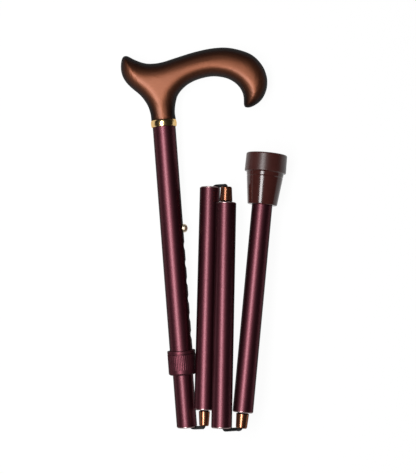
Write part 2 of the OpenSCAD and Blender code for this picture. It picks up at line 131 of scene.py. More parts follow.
class Finish:
    """A material under construction: its nodes, links and main shader."""

    def __init__(self, name):
        self.material = bpy.data.materials.new(name)
        self.material.use_nodes = True
        self.tree = self.material.node_tree
        self.shader = self.tree.nodes["Principled BSDF"]
        self.coords = self.tree.nodes.new("ShaderNodeTexCoord").outputs["Object"]

    def set(self, **values):
        for name, value in values.items():
            self.shader.inputs[name.replace("_", " ")].default_value = value
        return self

    def link(self, output, socket):
        self.tree.links.new(output, socket)

    def drive(self, output, name):
        self.link(output, self.shader.inputs[name])

    def node(self, kind, **settings):
        node = self.tree.nodes.new(kind)
        for name, value in settings.items():
            setattr(node, name, value)
        return node

    def placed(self, rotation=(0, 0, 0), scale=(1, 1, 1)):
        """Object coordinates, turned and then stretched."""
        mapping = self.node("ShaderNodeMapping")
        mapping.inputs["Rotation"].default_value = rotation
        mapping.inputs["Scale"].default_value = scale
        self.link(self.coords, mapping.inputs["Vector"])
        return mapping.outputs["Vector"]

    def noise(self, scale, detail=2.0, rough=0.5, vector=None):
        node = self.node("ShaderNodeTexNoise")
        node.inputs["Scale"].default_value = scale
        node.inputs["Detail"].default_value = detail
        node.inputs["Roughness"].default_value = rough
        self.link(vector or self.coords, node.inputs["Vector"])
        return node.outputs["Fac"]

    def ramp(self, value, stops):
        node = self.node("ShaderNodeValToRGB")
        elements = node.color_ramp.elements
        while len(elements) < len(stops):
            elements.new(1.0)
        for element, (place, colour) in zip(elements, stops):
            element.position = place
            element.color = (*colour, 1.0)
        self.link(value, node.inputs["Fac"])
        return node.outputs["Color"]

    def spread(self, value, low, high, start=0.0, end=1.0):
        """Value from start..end spread over low..high."""
        node = self.node("ShaderNodeMapRange")
        for name, number in (("From Min", start), ("From Max", end), ("To Min", low), ("To Max", high)):
            node.inputs[name].default_value = number
        self.link(value, node.inputs["Value"])
        return node.outputs["Result"]

    def math(self, operation, first, second):
        node = self.node("ShaderNodeMath", operation=operation)
        for socket, value in zip(node.inputs, (first, second)):
            if isinstance(value, (int, float)):
                socket.default_value = value
            else:
                self.link(value, socket)
        return node.outputs["Value"]

    def along(self, direction):
        """Place along a direction, in metres."""
        node = self.node("ShaderNodeVectorMath", operation="DOT_PRODUCT")
        self.link(self.coords, node.inputs[0])
        node.inputs[1].default_value = direction
        return node.outputs["Value"]

    def mix_colour(self, share, first, second):
        node = self.node("ShaderNodeMix", data_type="RGBA")
        self.link(share, node.inputs["Factor"])
        for name, value in (("A", first), ("B", second)):
            socket = [s for s in node.inputs if s.name == name and s.type == "RGBA"][0]
            if isinstance(value, tuple):
                socket.default_value = (*value, 1.0)
            else:
                self.link(value, socket)
        return [s for s in node.outputs if s.type == "RGBA"][0]

    def mix_value(self, share, first, second):
        """First where share is 0, second where it is 1."""
        return self.math("ADD", self.math("MULTIPLY", first, self.math("SUBTRACT", 1.0, share)),
                         self.math("MULTIPLY", second, share))

    def bump(self, height, distance, strength=1.0):
        node = self.node("ShaderNodeBump")
        node.inputs["Strength"].default_value = strength
        node.inputs["Distance"].default_value = distance
        self.link(height, node.inputs["Height"])
        self.drive(node.outputs["Normal"], "Normal")


# Colours of the finishes, in linear light
TUBE_DEEP = (0.060, 0.0145, 0.0205)
TUBE_BRIGHT = (0.105, 0.0275, 0.0385)
TUBE_RIM = (0.30, 0.21, 0.21)
BRONZE_DEEP = (0.172, 0.0585, 0.0292)
BRONZE_BRIGHT = (0.239, 0.0845, 0.0437)
# Painted shade: near-black brown that the grip's colour is mixed towards at its edges
BRONZE_PAINTED_SHADE = (0.0085, 0.0050, 0.0046)
GOLD_DEEP = (0.64, 0.42, 0.18)
GOLD_BRIGHT = (0.76, 0.53, 0.26)
GOLD_TINT = (0.95, 0.76, 0.5, 1.0)
BRASS_DEEP = (0.72, 0.60, 0.42)
BRASS_BRIGHT = (0.82, 0.71, 0.54)
BRASS_TINT = (0.2, 0.16, 0.10, 1.0)
COPPER_DEEP = (0.205, 0.078, 0.040)
COPPER_BRIGHT = (0.245, 0.098, 0.053)
# Painted shade for a plug's groove
NECK_PAINTED_SHADE = (0.012, 0.006, 0.004)
NUT_DEEP = (0.070, 0.0190, 0.0265)
NUT_BRIGHT = (0.092, 0.0260, 0.0350)
RUBBER_DEEP = (0.033, 0.0078, 0.0063)
RUBBER_BRIGHT = (0.041, 0.0108, 0.0089)
YARN_DEEP = (0.0025, 0.0025, 0.003)
YARN_BRIGHT = (0.009, 0.0085, 0.009)
STEEL_DEEP = (0.42, 0.42, 0.43)
STEEL_BRIGHT = (0.60, 0.60, 0.61)
FLOOR_PALE = (0.86, 0.86, 0.86, 1.0)
# As an edge tint, it keeps a metal from paling towards its outline
BLACK = (0.0, 0.0, 0.0, 1.0)

# Bare ends of a tube
RIM_WIDTH, RIM_ROUGH = 1.0 * MM, 0.30


def plum_tube_finish(name, tube, up):
    """Satin burgundy anodised tube: fine flake, faint drawn lines, bare turned ends."""
    finish = Finish(name)
    turn = math.atan2(up.x, up.y)
    drawn = finish.noise(1.0, vector=finish.placed(rotation=(0, 0, turn), scale=(5200, 60, 5200)))
    flake = finish.noise(1200, detail=3.0, rough=0.75)
    skin = finish.ramp(flake, [(0.30, TUBE_DEEP), (0.72, TUBE_BRIGHT)])
    low, high = span_along(tube, up)
    place = finish.along(up)
    rims = finish.math("MAXIMUM", finish.math("LESS_THAN", place, low + RIM_WIDTH),
                       finish.math("GREATER_THAN", place, high - RIM_WIDTH))
    satin = finish.spread(drawn, low=0.43, high=0.48)
    finish.drive(finish.mix_colour(rims, skin, TUBE_RIM), "Base Color")
    finish.drive(finish.mix_value(rims, satin, RIM_ROUGH), "Roughness")
    finish.bump(flake, distance=0.04 * MM, strength=0.4)
    finish.set(Metallic=1.0, Specular_Tint=BLACK, Coat_Weight=0.2, Coat_Roughness=0.3)
    return finish.material


# Kept with the grip's mesh: how far in from its outline a point lies, from 0 to 1; it sets the painted
# shade on the grip's edges
SHADE_INWARD = "inward"
# Painted shade: under the fingers the outline starts at this share, so the edges there are painted less
# dark than on the palm's side
FINGER_SHADE_START = 0.2
# Painted shade: how dark the grip's colour is painted at these shares of the way in, darkest at the outline
PAINTED_EDGE_SHADE = ((0.0, 1.0), (FINGER_SHADE_START, 0.94), (2 * FINGER_SHADE_START, 0.74), (0.85, 0.0))


def bronze_grip_finish():
    """Satin copper-bronze lacquer with fine metal flake and soft cloudy wear; its edges are painted dark as
    shade.
    """
    finish = Finish("bronze_grip")
    flake = finish.noise(1500, detail=3.0, rough=0.7)
    cloud = finish.noise(60, detail=3.0)
    skin = finish.ramp(flake, [(0.30, BRONZE_DEEP), (0.72, BRONZE_BRIGHT)])
    inward = finish.node("ShaderNodeAttribute", attribute_name=SHADE_INWARD).outputs["Fac"]
    # Painted shade: the colour darkens towards the outline, more on the palm's side
    shade = finish.ramp(inward, [(place, (depth,) * 3) for place, depth in PAINTED_EDGE_SHADE])
    finish.drive(finish.mix_colour(shade, skin, BRONZE_PAINTED_SHADE), "Base Color")
    finish.drive(finish.spread(cloud, low=0.55, high=0.62), "Roughness")
    finish.bump(flake, distance=0.025 * MM, strength=0.3)
    finish.set(Metallic=1.0, Specular_Tint=BLACK, Coat_Weight=0.2, Coat_Roughness=0.36)
    return finish.material


# Groove of a plug, from its tube's end, where its colour is painted dark as shade
NECK_START, NECK_END, NECK_ROUGH = 0.2 * MM, 1.2 * MM, 0.7


def polished_finish(name, deep, bright, tint, rough, up, shaded_groove=None, metal=1.0, coat=0.0):
    """Turned and polished metal with faint turning lines round its axis, and a dull groove painted dark as
    shade.
    """
    finish = Finish(name)
    place = finish.along(up)
    turning = finish.noise(9000, rough=0.6, vector=place)
    smear = finish.noise(900, detail=3.0, rough=0.6)
    skin = finish.ramp(smear, [(0.3, deep), (0.7, bright)])
    gloss = finish.spread(turning, low=rough * 0.8, high=rough * 1.3)
    if shaded_groove:
        low, high = shaded_groove
        groove_shade = finish.math("MULTIPLY", finish.math("GREATER_THAN", place, low),
                           finish.math("LESS_THAN", place, high))
        # Painted shade: the groove's band is coloured near-black, as if in shadow
        skin = finish.mix_colour(groove_shade, skin, NECK_PAINTED_SHADE)
        gloss = finish.mix_value(groove_shade, gloss, NECK_ROUGH)
    finish.drive(skin, "Base Color")
    finish.drive(gloss, "Roughness")
    finish.bump(turning, distance=0.006 * MM, strength=0.1)
    finish.set(Metallic=metal, Specular_Tint=tint, Coat_Weight=coat, Coat_Roughness=rough)
    return finish.material


def copper_finish(name, up, shaded_groove=None):
    return polished_finish(name, COPPER_DEEP, COPPER_BRIGHT, BLACK, rough=0.26, up=up, shaded_groove=shaded_groove,
                           metal=0.94, coat=0.15)


def nut_plastic_finish():
    """Satin plum plastic with a fine moulded grain."""
    finish = Finish("plum_plastic")
    grain = finish.noise(2600, detail=3.0, rough=0.6)
    cloud = finish.noise(160)
    finish.drive(finish.ramp(cloud, [(0.3, NUT_DEEP), (0.7, NUT_BRIGHT)]), "Base Color")
    finish.drive(finish.spread(grain, low=0.40, high=0.48), "Roughness")
    finish.bump(grain, distance=0.03 * MM, strength=0.5)
    finish.set(Metallic=0.85, Specular_Tint=BLACK, Coat_Weight=0.04, Coat_Roughness=0.4)
    return finish.material


# The tip's wide base, which is duller than the rest
TIP_BASE_H, TIP_BASE_ROUGH = 14.5 * MM, 0.35


def rubber_finish():
    """Brown-burgundy rubber with a soft gloss, a faint bloom and fine pores."""
    finish = Finish("rubber_tip")
    pores = finish.noise(2600, detail=3.0, rough=0.65)
    bloom = finish.noise(110, detail=3.0, rough=0.55)
    worn = finish.math("GREATER_THAN", finish.along(UP_4), GROUND.dot(UP_4) - TIP_BASE_H)
    gloss = finish.spread(pores, low=0.145, high=0.20)
    finish.drive(finish.ramp(bloom, [(0.3, RUBBER_DEEP), (0.7, RUBBER_BRIGHT)]), "Base Color")
    finish.drive(finish.mix_value(worn, gloss, TIP_BASE_ROUGH), "Roughness")
    finish.bump(pores, distance=0.02 * MM, strength=0.4)
    finish.set(Specular_IOR_Level=0.38)
    return finish.material


def cord_finish():
    """Black braided elastic: dull yarn with a little sheen."""
    finish = Finish("braided_cord")
    yarn = finish.noise(5000, rough=0.6)
    finish.drive(finish.ramp(yarn, [(0.3, YARN_DEEP), (0.75, YARN_BRIGHT)]), "Base Color")
    finish.drive(finish.spread(yarn, low=0.6, high=0.8), "Roughness")
    finish.bump(yarn, distance=0.03 * MM, strength=0.7)
    finish.set(Specular_IOR_Level=0.25, Sheen_Weight=0.03, Sheen_Roughness=0.4)
    return finish.material


def steel_finish():
    """Plain spring steel with a brushed grain."""
    finish = Finish("spring_steel")
    brushed = finish.noise(1.0, vector=finish.placed(scale=(4000, 200, 4000)))
    finish.drive(finish.ramp(brushed, [(0.3, STEEL_DEEP), (0.7, STEEL_BRIGHT)]), "Base Color")
    finish.drive(finish.spread(brushed, low=0.25, high=0.4), "Roughness")
    finish.set(Metallic=1.0)
    return finish.material


BRONZE = bronze_grip_finish()
GOLD = polished_finish("gold_ring", GOLD_DEEP, GOLD_BRIGHT, GOLD_TINT, rough=0.19, up=UP_1)
BRASS = polished_finish("brass_button", BRASS_DEEP, BRASS_BRIGHT, BRASS_TINT, rough=0.40, up=UP_1)
PLASTIC = nut_plastic_finish()
RUBBER = rubber_finish()
CORD = cord_finish()
STEEL = steel_finish()

TUBE_UP = {"upper_tube": UP_1, "inner_tube": UP_1, "tube_2": UP_2, "tube_3": UP_3, "tube_4": UP_4}
# Each plug with its tube and the way it points
PLUG_WAY = {"spigot_2": ("tube_2", -UP_2), "spigot_3": ("tube_3", UP_3), "spigot_4": ("tube_4", -UP_4)}
BUSH_UP = {"socket_bush_1": UP_1, "socket_bush_2": UP_2, "socket_bush_3": UP_3}


def dress(node, material):
    """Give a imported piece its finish."""
    slots = NODES[node].data.materials
    slots.clear()
    slots.append(material)


for tube, up in TUBE_UP.items():
    dress(tube, plum_tube_finish("plum_" + tube, tube, up))
for plug, (tube, way) in PLUG_WAY.items():
    end = span_along(tube, way)[1]
    dress(plug, copper_finish("copper_" + plug, way, (end + NECK_START, end + NECK_END)))
for bush, up in BUSH_UP.items():
    dress(bush, copper_finish("copper_" + bush, up))
dress("collar_ring", GOLD)
dress("snap_button", BRASS)
dress("lock_bush", PLASTIC)
for inner in ("cord_anchor_top", "cord_anchor_bottom", "tip_washer"):
    dress(inner, STEEL)


# Pieces

def new_object(name, mesh, material, body, slot, *nodes):
    """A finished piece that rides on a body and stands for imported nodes."""
    mesh.name = name
    mesh.materials.clear()
    mesh.materials.append(material)
    piece = bpy.data.objects.new(name, mesh)
    bpy.context.scene.collection.objects.link(piece)
    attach(piece, body)
    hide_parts(*nodes)
    return piece


# Points nearer than this are one point
MERGE_REACH = 0.005 * MM


def merged_copy(node):
    """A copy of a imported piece's mesh, with its loose triangles joined."""
    mesh = NODES[node].data.copy()
    joined = bmesh.new()
    joined.from_mesh(mesh)
    bmesh.ops.remove_doubles(joined, verts=joined.verts, dist=MERGE_REACH)
    joined.to_mesh(mesh)
    joined.free()
    return mesh


def settled_mesh(mesh, add_modifiers):
    """The mesh after its modifiers, as a plain mesh."""
    holder = bpy.data.objects.new("holder", mesh)
    bpy.context.scene.collection.objects.link(holder)
    add_modifiers(holder)
    bpy.context.view_layer.update()
    graph = bpy.context.evaluated_depsgraph_get()
    settled = bpy.data.meshes.new_from_object(holder.evaluated_get(graph))
    bpy.data.objects.remove(holder)
    return settled


# Grid of the grip's skin, and how often its form and then its heights are smoothed
GRIP_GRID = 0.8 * MM
GRIP_PASSES, HEIGHT_PASSES, PASS_SHARE = 2, 30, 0.5
# Half thickness at the ring and in the palm, and how far in from its edge the grip is rounded
FOOT_HALF, PALM_HALF, PALM_RISE = 9.7 * MM, 11.6 * MM, 30 * MM
EDGE_ROUND = 10.5 * MM
# How much wider the rounding is on the palm's side, and narrower under the fingers
PALM_LEAN = 0.3
# The palm's form starts and is full at these heights above the ring
PALM_START, PALM_FULL = 3 * MM, 16 * MM
# Skin over the form
LACQUER = 0.4 * MM


def ease_in(value, start, end):
    share = min(max((value - start) / (end - start), 0.0), 1.0)
    return share * share * (3 - 2 * share)


def crown_grip(mesh):
    """Raise the grip evenly from its outline, so that beak, neck and palm flow into each other."""
    middle = RING_TOP.z
    rim = [v for v in mesh.vertices if abs(v.co.z - middle) < GRIP_GRID / 2]
    edge = kdtree.KDTree(len(rim))
    for index, vertex in enumerate(rim):
        edge.insert((vertex.co.x, vertex.co.y, middle), index)
    edge.balance()
    normals = [flat_to(vertex.normal.copy(), Vector((0, 0, 1))).normalized() for vertex in rim]
    places, inward = [], []
    for vertex in mesh.vertices:
        height = vertex.co.z - middle
        above = (vertex.co - RING_TOP).dot(UP_1)
        share = ease_in(above, PALM_START, PALM_FULL)
        near, index, _ = edge.find((vertex.co.x, vertex.co.y, middle))
        inside = max((near - vertex.co).dot(normals[index]), 0.0)
        lean = normals[index].dot(UP_1)
        reach = min(inside / (EDGE_ROUND * (1 + PALM_LEAN * lean)), 1.0)
        # Painted shade: the finger side's edges start lighter than the palm's
        start = FINGER_SHADE_START * ease_in(above, 0.0, PALM_RISE) * (1 - max(lean, 0.0))
        inward.append(reach + start * (1 - reach))
        half = FOOT_HALF + (PALM_HALF - FOOT_HALF) * ease_in(above, 0.0, PALM_RISE)
        rise = half * math.sqrt(1 - (1 - reach) ** 2)
        if abs(height) < GRIP_GRID / 2:
            rise = abs(height)
        level = middle + height * (1 - share) + math.copysign(rise, height) * share
        places.append(Vector((vertex.co.x, vertex.co.y, level)) + vertex.normal * LACQUER * share)
    for vertex, place in zip(mesh.vertices, places):
        vertex.co = place
    # Painted shade: stored on the mesh so that the grip's finish darkens its edges
    mesh.attributes.new(SHADE_INWARD, "FLOAT", "POINT").data.foreach_set("value", inward)


def smooth_grip():
    """The handle's own form with its creases eased, as one even skin."""
    def ease(holder):
        grid = holder.modifiers.new("grid", "REMESH")
        grid.mode = "VOXEL"
        grid.voxel_size = GRIP_GRID
        grid.use_smooth_shade = True
        passes = holder.modifiers.new("passes", "SMOOTH")
        passes.factor = PASS_SHARE
        passes.iterations = GRIP_PASSES

    def level(holder):
        heights = holder.modifiers.new("heights", "SMOOTH")
        heights.use_x = heights.use_y = False
        heights.factor = PASS_SHARE
        heights.iterations = HEIGHT_PASSES

    skin = settled_mesh(merged_copy("handle"), ease)
    crown_grip(skin)
    return settled_mesh(skin, level)


new_object("grip_skin", smooth_grip(), BRONZE, "handle_section", "bronze_grip", "handle")


# A short straight beside each rounding, which keeps the faces next to it flat
EDGE_HOLD = 0.04 * MM


def rounded(corners, steps=5):
    """Outline through (radius, height, rounding) corners, each rounding as an arc."""
    points = []
    for index, (radius, height, rounding) in enumerate(corners):
        corner = Vector((radius, height))
        if rounding == 0:
            points.append(corner)
            continue
        before = (Vector(corners[index - 1][:2]) - corner).normalized()
        after = (Vector(corners[(index + 1) % len(corners)][:2]) - corner).normalized()
        half = before.angle(after) / 2
        centre = corner + (before + after).normalized() * rounding / math.sin(half)
        first = corner + before * rounding / math.tan(half) - centre
        last = corner + after * rounding / math.tan(half) - centre
        sweep = first.angle_signed(last)
        points.append(centre + first + before * EDGE_HOLD)
        for step in range(steps + 1):
            turn = Matrix.Rotation(-sweep * step / steps, 2)
            points.append(centre + turn @ first)
        points.append(centre + last + after * EDGE_HOLD)
    return points


# An outline's point this near to the axis lies on it
AXIS_REACH = 0.001 * MM
# Edges that turn by more than this stay sharp
SHARP_ANGLE = math.radians(40)


def turned_mesh(outline, place, steps=128):
    """Solid of revolution of a closed outline round the z of its place."""
    form = bmesh.new()
    rings = []
    for radius, height in outline:
        if radius < AXIS_REACH:
            rings.append([form.verts.new((0, 0, height))])
            continue
        angles = [2 * math.pi * step / steps for step in range(steps)]
        rings.append([form.verts.new((radius * math.cos(a), radius * math.sin(a), height)) for a in angles])
    for lower, upper in zip(rings, rings[1:] + rings[:1]):
        if len(lower) == 1 and len(upper) == 1:
            continue
        for step in range(steps):
            after = (step + 1) % steps
            corners = [lower[step % len(lower)], lower[after % len(lower)],
                       upper[after % len(upper)], upper[step % len(upper)]]
            form.faces.new(list(dict.fromkeys(corners)))
    bmesh.ops.recalc_face_normals(form, faces=form.faces)
    for face in form.faces:
        face.smooth = True
    form.transform(place)
    mesh = bpy.data.meshes.new("turned")
    form.to_mesh(mesh)
    form.free()
    mesh.set_sharp_from_angle(angle=SHARP_ANGLE)
    return mesh


# Tip: sizes as moulded, heights above the ground face
GROUND_R, SHOULDER_R = 15.95 * MM, 16.2 * MM
BODY_LOW_R, BODY_TOP_R, TIP_LEN = 14.6 * MM, 11.55 * MM, 40 * MM
TIP_BORE_R, SOLE_T = 8.03 * MM, 9 * MM
TREADS, TREAD_PITCH, TREAD_W, TREAD_DEPTH = 3, 4 * MM, 1.6 * MM, 1.4 * MM
# Fine line round the body, above the base
LINE_RISE, LINE_W, LINE_DEPTH = 2.9 * MM, 0.9 * MM, 0.3 * MM
# Roundings, from the ground up
TREAD_EDGE, GROUND_EDGE, SHOULDER_EDGE, STEP_EDGE = 0.2 * MM, 1.1 * MM, 0.8 * MM, 0.6 * MM
LINE_EDGE, TOP_EDGE, MOUTH_EDGE = 0.08 * MM, 0.9 * MM, 0.4 * MM


def moulded_tip():
    """Rubber tip with a wide base, ring treads and a bore for the tube."""
    def body_r(height):
        share = (height - TIP_BASE_H) / (TIP_LEN - TIP_BASE_H)
        return BODY_LOW_R + (BODY_TOP_R - BODY_LOW_R) * share

    line = TIP_BASE_H + LINE_RISE
    middle, after = line + LINE_W / 2, line + LINE_W
    corners = [(0, 0, 0)]
    for ring in range(1, TREADS + 1):
        near, far = ring * TREAD_PITCH - TREAD_W / 2, ring * TREAD_PITCH + TREAD_W / 2
        corners += [(near, 0, TREAD_EDGE), (near, TREAD_DEPTH, TREAD_EDGE),
                    (far, TREAD_DEPTH, TREAD_EDGE), (far, 0, TREAD_EDGE)]
    corners += [(GROUND_R, 0, GROUND_EDGE), (SHOULDER_R, TIP_BASE_H, SHOULDER_EDGE),
                (BODY_LOW_R, TIP_BASE_H, STEP_EDGE), (body_r(line), line, LINE_EDGE),
                (body_r(middle) - LINE_DEPTH, middle, LINE_EDGE), (body_r(after), after, LINE_EDGE),
                (BODY_TOP_R, TIP_LEN, TOP_EDGE), (TIP_BORE_R, TIP_LEN, MOUTH_EDGE),
                (TIP_BORE_R, SOLE_T, 0), (0, SOLE_T, 0)]
    return turned_mesh(rounded(corners), section_matrix(GROUND, -UP_4))


new_object("tip_skin", moulded_tip(), RUBBER, "fourth_section", "rubber_tip", "tip_ferrule")


# Geometry node helpers

SOCKETS = {float: "NodeSocketFloat", int: "NodeSocketInt"}


class Rule:
    """A geometry node tree under construction, with named inputs."""

    def __init__(self, name, **inputs):
        self.tree = bpy.data.node_groups.new(name, "GeometryNodeTree")
        face = self.tree.interface
        face.new_socket("Geometry", in_out="INPUT", socket_type="NodeSocketGeometry")
        self.ids = {}
        for key, value in inputs.items():
            socket = face.new_socket(key, in_out="INPUT", socket_type=SOCKETS[type(value)])
            socket.default_value = value
            self.ids[key] = socket.identifier
        self.ids["material"] = face.new_socket(
            "material", in_out="INPUT", socket_type="NodeSocketMaterial").identifier
        face.new_socket("Geometry", in_out="OUTPUT", socket_type="NodeSocketGeometry")
        self.given = self.tree.nodes.new("NodeGroupInput").outputs

    def node(self, kind, settings=None, **inputs):
        node = self.tree.nodes.new(kind)
        for name, value in (settings or {}).items():
            setattr(node, name, value)
        for name, value in inputs.items():
            self.feed(node.inputs[name.replace("_", " ")], value)
        return node

    def feed(self, socket, value):
        for item in value if isinstance(value, list) else [value]:
            if isinstance(item, bpy.types.NodeSocket):
                self.tree.links.new(item, socket)
            else:
                socket.default_value = item

    def math(self, operation, first, second=0.0):
        node = self.tree.nodes.new("ShaderNodeMath")
        node.operation = operation
        self.feed(node.inputs[0], first)
        self.feed(node.inputs[1], second)
        return node.outputs[0]

    def vector(self, operation, first, second=None, scale=None):
        node = self.tree.nodes.new("ShaderNodeVectorMath")
        node.operation = operation
        self.feed(node.inputs[0], first)
        if second is not None:
            self.feed(node.inputs[1], second)
        if scale is not None:
            self.feed(node.inputs["Scale"], scale)
        return node.outputs[0]

    def end(self, geometry):
        """Realized, smooth and with its material."""
        whole = self.node("GeometryNodeRealizeInstances", Geometry=geometry).outputs[0]
        smooth = self.node("GeometryNodeSetShadeSmooth", Geometry=whole).outputs[0]
        dressed = self.node("GeometryNodeSetMaterial", Geometry=smooth, Material=self.given["material"])
        self.node("NodeGroupOutput", Geometry=dressed.outputs[0])

    def make(self, mesh, material, **values):
        """A plain mesh grown from a mesh by this rule."""
        def grow(holder):
            modifier = holder.modifiers.new("rule", "NODES")
            modifier.node_group = self.tree
            for key, value in dict(values, material=material).items():
                modifier[self.ids[key]] = value

        return settled_mesh(mesh, grow)


# Lock nut: a turned body with ribs set round it

# Roundings of its upper and lower edge, of the bands, of the grooves' floor and of the lip
NUT_TOP, NUT_EDGE, BAND_EDGE, ROOT_EDGE, LIP_EDGE = 0.4 * MM, 1.5 * MM, 0.15 * MM, 0.1 * MM, 0.4 * MM
# Plain bands above and below the ribs
BAND_ABOVE, BAND_BELOW = 0.7 * MM, 2.3 * MM
RIBS, RIB_W, RIB_DEPTH, RIB_FACES, LIP_H = 44, 4.6 * MM, 0.35 * MM, 56, 1.5 * MM
# The ribs stay just under the nut's bands
RIB_SINK = 0.04 * MM


def rib_rule():
    """Bars with a round face, spaced evenly round a circle and kept within the nut's wall."""
    rule = Rule("ribs_round_nut", count=44, circle_radius=0.01, bar_radius=0.0005, bar_length=0.01,
                middle_height=0.0, inner_radius=0.009)
    given = rule.given
    bar = rule.node("GeometryNodeMeshCylinder", Vertices=RIB_FACES, Radius=given["bar_radius"],
                    Depth=given["bar_length"])
    circle = rule.node("GeometryNodeMeshCircle", Vertices=given["count"], Radius=given["circle_radius"])
    height = rule.node("ShaderNodeCombineXYZ", Z=given["middle_height"])
    ring = rule.node("GeometryNodeTransform", Geometry=circle.outputs["Mesh"],
                     Translation=height.outputs[0])
    ribs = rule.node("GeometryNodeInstanceOnPoints", Points=ring.outputs[0], Instance=bar.outputs["Mesh"])
    bars = rule.node("GeometryNodeRealizeInstances", Geometry=ribs.outputs[0])
    position = rule.node("GeometryNodeInputPosition").outputs[0]
    place = rule.node("ShaderNodeSeparateXYZ", Vector=position).outputs
    reach = rule.math("SQRT", rule.math("ADD", rule.math("MULTIPLY", place["X"], place["X"]),
                                        rule.math("MULTIPLY", place["Y"], place["Y"])))
    grow = rule.math("MAXIMUM", rule.math("DIVIDE", given["inner_radius"], reach), 1.0)
    kept = rule.node("ShaderNodeCombineXYZ", X=rule.math("MULTIPLY", place["X"], grow),
                     Y=rule.math("MULTIPLY", place["Y"], grow), Z=place["Z"])
    within = rule.node("GeometryNodeSetPosition", Geometry=bars.outputs[0], Position=kept.outputs[0])
    both = rule.node("GeometryNodeJoinGeometry", Geometry=[given["Geometry"], within.outputs[0]])
    rule.end(both.outputs[0])
    return rule


def ribbed_nut():
    """Nut body from its own ends, with ribs; heights along section 1 from the ring's top."""
    start = RING_TOP.dot(UP_1)
    low, high = (place - start for place in span_along("lock_nut", UP_1))
    hole, top_r = end_radii("lock_nut", UP_1)
    lip = end_radii("lock_nut", -UP_1)[0]
    outer = top_r + NUT_TOP
    root = outer - RIB_DEPTH
    rib_high, rib_low = high - BAND_ABOVE, low + NUT_EDGE + BAND_BELOW
    corners = [(hole, high, 0), (outer, high, NUT_TOP), (outer, rib_high, BAND_EDGE),
               (root, rib_high - RIB_DEPTH, ROOT_EDGE), (root, rib_low + RIB_DEPTH, ROOT_EDGE),
               (outer, rib_low, BAND_EDGE), (outer, low, NUT_EDGE), (lip, low, LIP_EDGE),
               (lip, low + LIP_H, 0), (hole, low + LIP_H, 0)]
    body = turned_mesh(rounded(corners), Matrix.Identity(4), steps=3 * RIBS)
    bar = RIB_W / 2
    mesh = rib_rule().make(body, PLASTIC, count=RIBS, circle_radius=outer - bar - RIB_SINK,
                           bar_radius=bar, bar_length=rib_high - rib_low + RIB_DEPTH,
                           middle_height=(rib_high + rib_low) / 2, inner_radius=(hole + root) / 2)
    mesh.transform(section_matrix(RING_TOP, UP_1))
    mesh.set_sharp_from_angle(angle=SHARP_ANGLE)
    return mesh


new_object("nut_skin", ribbed_nut(), PLASTIC, "lock_nut", "plum_plastic", "lock_nut")


def leaf_spring():
    """The button's leaf spring, as a copy of its imported mesh."""
    mesh = merged_copy("button_spring")
    leaf = new_object("leaf_spring", mesh, STEEL, "inner_section", "steel", "button_spring")
    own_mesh(leaf)


leaf_spring()


# Elastic cord: strands braided over a core, along each run, bend and knot

CORD_R = 1.3 * MM
STRANDS = 8
STRAND_R = 0.29 * MM
STRAND_SIDES, CORE_SIDES = 6, 12
# How far the strands rise and dip where they cross
WEAVE = 0.06 * MM
# Length of one turn of a strand, and of one step along it
BRAID_PITCH = 6 * MM
BRAID_STEP = 0.45 * MM
FEWEST_STEPS = 12


def braid_rule():
    """Strands wound both ways round a path, passing over and under each other."""
    rule = Rule("braid_along_path", points=60, turns=4.0, strands=8, radius=0.001, strand_radius=0.0003,
                weave=0.00006)
    given = rule.given
    path = rule.node("GeometryNodeMeshToCurve", Mesh=given["Geometry"])
    path = rule.node("GeometryNodeResampleCurve", Curve=path.outputs[0], Count=given["points"]).outputs[0]
    core_ring = rule.node("GeometryNodeCurvePrimitiveCircle", Resolution=CORE_SIDES, Radius=given["radius"])
    core = rule.node("GeometryNodeCurveToMesh", Curve=path,
                     Profile_Curve=core_ring.outputs["Curve"], Fill_Caps=True)
    both_ways = rule.math("MULTIPLY", given["strands"], 2.0)
    copies = rule.node("GeometryNodeDuplicateElements", {"domain": "SPLINE"}, Geometry=path,
                       Amount=both_ways)
    index = copies.outputs["Duplicate Index"]
    way = rule.math("SUBTRACT", 1.0, rule.math("MULTIPLY", 2.0, rule.math(
        "GREATER_THAN", index, rule.math("SUBTRACT", given["strands"], 0.5))))
    factor = rule.node("GeometryNodeSplineParameter").outputs["Factor"]
    wound = rule.math("MULTIPLY", rule.math("MULTIPLY", factor, given["turns"]), 2 * math.pi)
    phase = rule.math("DIVIDE", rule.math("MULTIPLY", index, 2 * math.pi), given["strands"])
    angle = rule.math("ADD", rule.math("MULTIPLY", wound, way), phase)
    over = rule.math("MULTIPLY", rule.math("COSINE", rule.math("MULTIPLY", wound, given["strands"])), way)
    reach = rule.math("ADD", given["radius"], rule.math("MULTIPLY", over, given["weave"]))
    normal = rule.node("GeometryNodeInputNormal").outputs["Normal"]
    tangent = rule.node("GeometryNodeInputTangent").outputs[0]
    across = rule.vector("CROSS_PRODUCT", tangent, normal)
    out = rule.math("MULTIPLY", reach, rule.math("COSINE", angle))
    aside = rule.math("MULTIPLY", reach, rule.math("SINE", angle))
    offset = rule.vector("ADD", rule.vector("SCALE", normal, scale=out),
                         rule.vector("SCALE", across, scale=aside))
    strands = rule.node("GeometryNodeSetPosition", Geometry=copies.outputs[0], Offset=offset)
    strand_ring = rule.node("GeometryNodeCurvePrimitiveCircle", Resolution=STRAND_SIDES,
                            Radius=given["strand_radius"])
    yarn = rule.node("GeometryNodeCurveToMesh", Curve=strands.outputs[0],
                     Profile_Curve=strand_ring.outputs["Curve"], Fill_Caps=True)
    both = rule.node("GeometryNodeJoinGeometry", Geometry=[core.outputs[0], yarn.outputs[0]])
    rule.end(both.outputs[0])
    return rule


BRAID = braid_rule()


